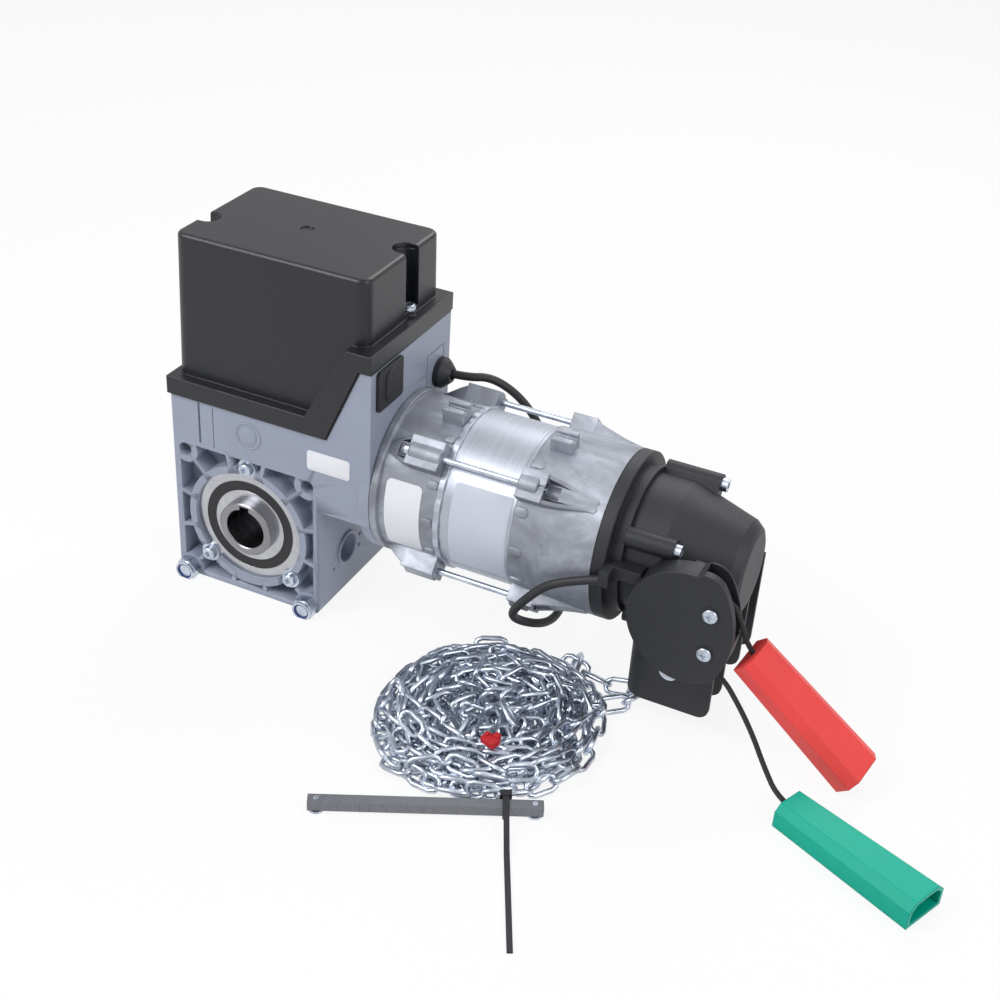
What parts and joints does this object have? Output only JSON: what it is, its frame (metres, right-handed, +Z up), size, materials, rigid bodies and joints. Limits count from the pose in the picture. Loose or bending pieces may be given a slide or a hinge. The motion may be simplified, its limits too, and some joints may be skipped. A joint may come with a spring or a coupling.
{
  "type": "industrial door operator",
  "caption": "Worm-geared electric operator for industrial doors, with a hollow keyed output shaft, control hood, emergency hand chain and two clutch pull cords.",
  "frame": {"origin": "on the output bore's axis, in the plane of the gearcase's front ribs", "axes": "+X along the motor towards the chain unit, +Y into the gearcase along the bore, +Z up"},
  "size_m": [0.4847, 0.2885, 0.2233],
  "materials": {
    "case_grey": "satin grey coat",
    "cast_aluminium": "raw die cast",
    "shell_aluminium": "turned and brushed",
    "zinc_steel": "zinc plated",
    "bearing_steel": "ground",
    "shaft_steel": "turned",
    "key_steel": "drawn bar",
    "core_steel": "stacked sheet",
    "bronze": "cut",
    "copper": "enamelled wire",
    "hood_black": "fine grain, glossy at the edges",
    "unit_black": "matt moulded",
    "wheel_grey": "moulded",
    "seal_black": "matt",
    "cable_black": "smooth",
    "cord_black": "braided",
    "handle_red": "satin",
    "handle_green": "satin",
    "clip_red": "satin",
    "insert_blue": "moulded",
    "board_green": "lacquered"
  },
  "bodies": {
    "operator": {"gear_housing": "case_grey", "rear_cover": "case_grey", "output_bearing_outer_rings": "bearing_steel", "output_bearing_seals": "seal_black", "bearing_washers": "zinc_steel", "bearing_screws": "zinc_steel", "through_bolts": "zinc_steel", "lock_nuts": "zinc_steel", "nut_inserts": "insert_blue", "rear_cover_screws": "zinc_steel", "square_plug": "seal_black", "cable_gland": "unit_black", "worm_end_cap": "zinc_steel", "motor_bearing_outer_rings": "bearing_steel", "stator_core": "core_steel", "stator_windings": "copper", "stator_shell": "shell_aluminium", "front_casting": "cast_aluminium", "rear_casting": "cast_aluminium", "tie_rods": "zinc_steel", "tie_rod_nuts": "zinc_steel", "hood_gasket": "seal_black", "control_hood": "hood_black", "hood_screws": "zinc_steel", "terminal_board": "board_green", "limit_switch_unit": "unit_black", "end_ring": "unit_black", "chain_wheel_axle": "shaft_steel", "end_cover": "unit_black", "end_cover_screws": "zinc_steel", "chain_guide": "unit_black", "guide_screw": "zinc_steel", "release_cover": "unit_black", "release_base": "unit_black", "release_screws": "zinc_steel", "red_cord": "cord_black", "green_cord": "cord_black", "red_handle": "handle_red", "green_handle": "handle_green", "switch_cable": "cable_black", "shaft_key": "key_steel", "key_screws": "zinc_steel", "cable_tie": "unit_black", "chain_pile": "zinc_steel", "chain_clip": "clip_red", "hand_chain": "zinc_steel"},
    "rotor": {"motor_shaft": "shaft_steel", "rotor_core": "core_steel", "motor_bearing_inner_rings": "bearing_steel"},
    "output": {"hollow_shaft": "shaft_steel", "wheel_key": "key_steel", "worm_wheel": "bronze", "output_bearing_inner_rings": "bearing_steel"},
    "chain_wheel": {"chain_wheel": "wheel_grey"},
    "clutch": {"clutch_ring": "shaft_steel"},
    "release": {"release_pulley": "wheel_grey"}
  },
  "joints": [
    {"name": "motor_turn", "type": "hinge", "parent": "operator", "child": "rotor", "pos_m": [0.146, 0.0469, 0.043], "axis": [1, 0, 0], "continuous": true},
    {"name": "output_turn", "type": "hinge", "parent": "operator", "child": "output", "pos_m": [0, 0.0469, 0], "axis": [0, 1, 0], "continuous": true},
    {"name": "chain_wheel_turn", "type": "hinge", "parent": "operator", "child": "chain_wheel", "pos_m": [0.248, 0.0469, 0.043], "axis": [1, 0, 0], "continuous": true},
    {"name": "release_turn", "type": "hinge", "parent": "operator", "child": "release", "pos_m": [0.2732, 0, 0.0339], "axis": [0, -1, 0], "range_deg": [0, 40]},
    {"name": "clutch_slide", "type": "slide", "parent": "rotor", "child": "clutch", "axis": [-1, 0, 0], "range_m": [0, 0.0062]}
  ],
  "couplings": [
    {"joint": "output_turn", "follows": "motor_turn", "ratio": -0.017857},
    {"joint": "release_turn", "follows": "clutch_slide", "rad_per_m": 112.15}
  ]
}
